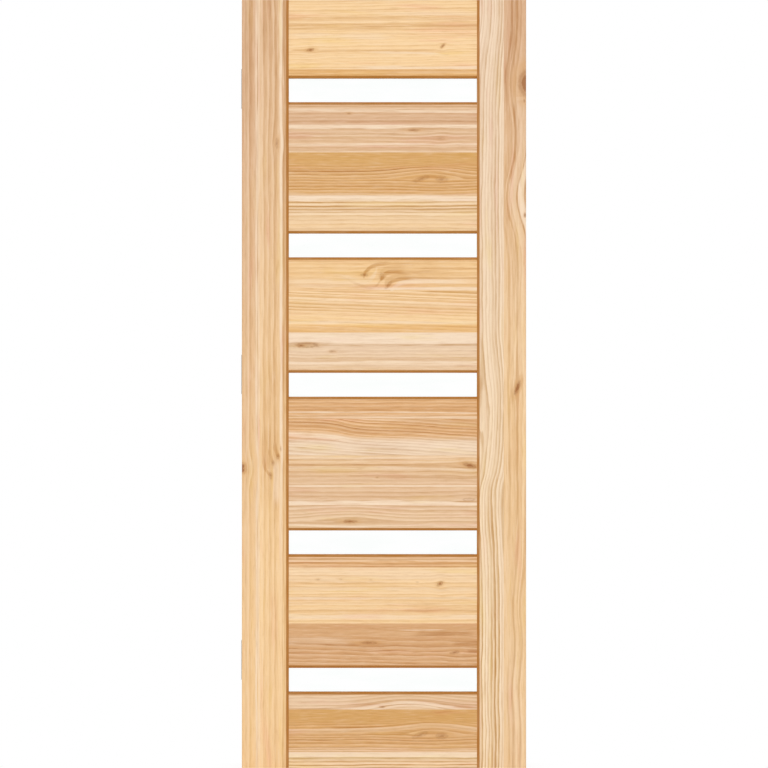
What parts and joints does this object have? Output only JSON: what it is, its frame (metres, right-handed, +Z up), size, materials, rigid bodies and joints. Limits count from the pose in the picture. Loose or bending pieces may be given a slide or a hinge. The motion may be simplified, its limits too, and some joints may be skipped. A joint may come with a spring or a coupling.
{
  "type": "exterior wood door",
  "caption": "Hinged door leaf of glued-up softwood boards between laminated stiles, with narrow see-through glass strips between the rails and butt hinges on one edge.",
  "frame": {"origin": "middle of the leaf's bottom edge, halfway through its thickness", "axes": "+X to the right seen from the front, -Y out of the front face, +Z up along the stiles"},
  "size_m": [0.742, 0.0565, 2],
  "materials": {
    "honey_boards": "oiled, satin, with growth-ring lines",
    "rose_boards": "oiled, satin, with growth-ring lines",
    "amber_boards": "oiled, satin, with growth-ring lines",
    "pale_boards": "oiled, satin, with growth-ring lines",
    "dowels": "plain beech",
    "glass": "clear float glass",
    "seals": "matt tan",
    "hinge_leaves": "brushed",
    "hinge_pins": "turned",
    "hinge_washers": "plain",
    "screws": "zinc"
  },
  "bodies": {
    "hinge_frame_side": {"top_hinge_frame_leaf": "hinge_leaves", "top_hinge_pin": "hinge_pins", "top_hinge_washers": "hinge_washers", "middle_hinge_frame_leaf": "hinge_leaves", "middle_hinge_pin": "hinge_pins", "middle_hinge_washers": "hinge_washers", "bottom_hinge_frame_leaf": "hinge_leaves", "bottom_hinge_pin": "hinge_pins", "bottom_hinge_washers": "hinge_washers"},
    "door_leaf": {"hinge_stile_outer_board": "rose_boards", "hinge_stile_inner_board": "honey_boards", "lock_stile_inner_board": "pale_boards", "lock_stile_outer_board": "rose_boards", "rail_1_board_1": "honey_boards", "rail_1_board_2": "amber_boards", "rail_2_board_1": "rose_boards", "rail_2_board_2": "rose_boards", "rail_2_board_3": "amber_boards", "rail_2_board_4": "honey_boards", "rail_3_board_1": "honey_boards", "rail_3_board_2": "honey_boards", "rail_3_board_3": "pale_boards", "rail_4_board_1": "amber_boards", "rail_4_board_2": "amber_boards", "rail_4_board_3": "honey_boards", "rail_4_board_4": "pale_boards", "rail_4_board_5": "rose_boards", "rail_5_board_1": "amber_boards", "rail_5_board_2": "honey_boards", "rail_5_board_3": "rose_boards", "rail_6_board_1": "pale_boards", "rail_6_board_2": "amber_boards", "rail_6_board_3": "honey_boards", "dowels": "dowels", "glass_strip_1": "glass", "glass_seal_1": "seals", "glass_strip_2": "glass", "glass_seal_2": "seals", "glass_strip_3": "glass", "glass_seal_3": "seals", "glass_strip_4": "glass", "glass_seal_4": "seals", "glass_strip_5": "glass", "glass_seal_5": "seals", "top_hinge_door_leaf": "hinge_leaves", "top_hinge_screws": "screws", "middle_hinge_door_leaf": "hinge_leaves", "middle_hinge_screws": "screws", "bottom_hinge_door_leaf": "hinge_leaves", "bottom_hinge_screws": "screws"}
  },
  "joints": [
    {"name": "door_swing", "type": "hinge", "parent": "hinge_frame_side", "child": "door_leaf", "pos_m": [-0.366, 0.0285, 0], "axis": [0, 0, 1], "range_deg": [0, 180]}
  ]
}
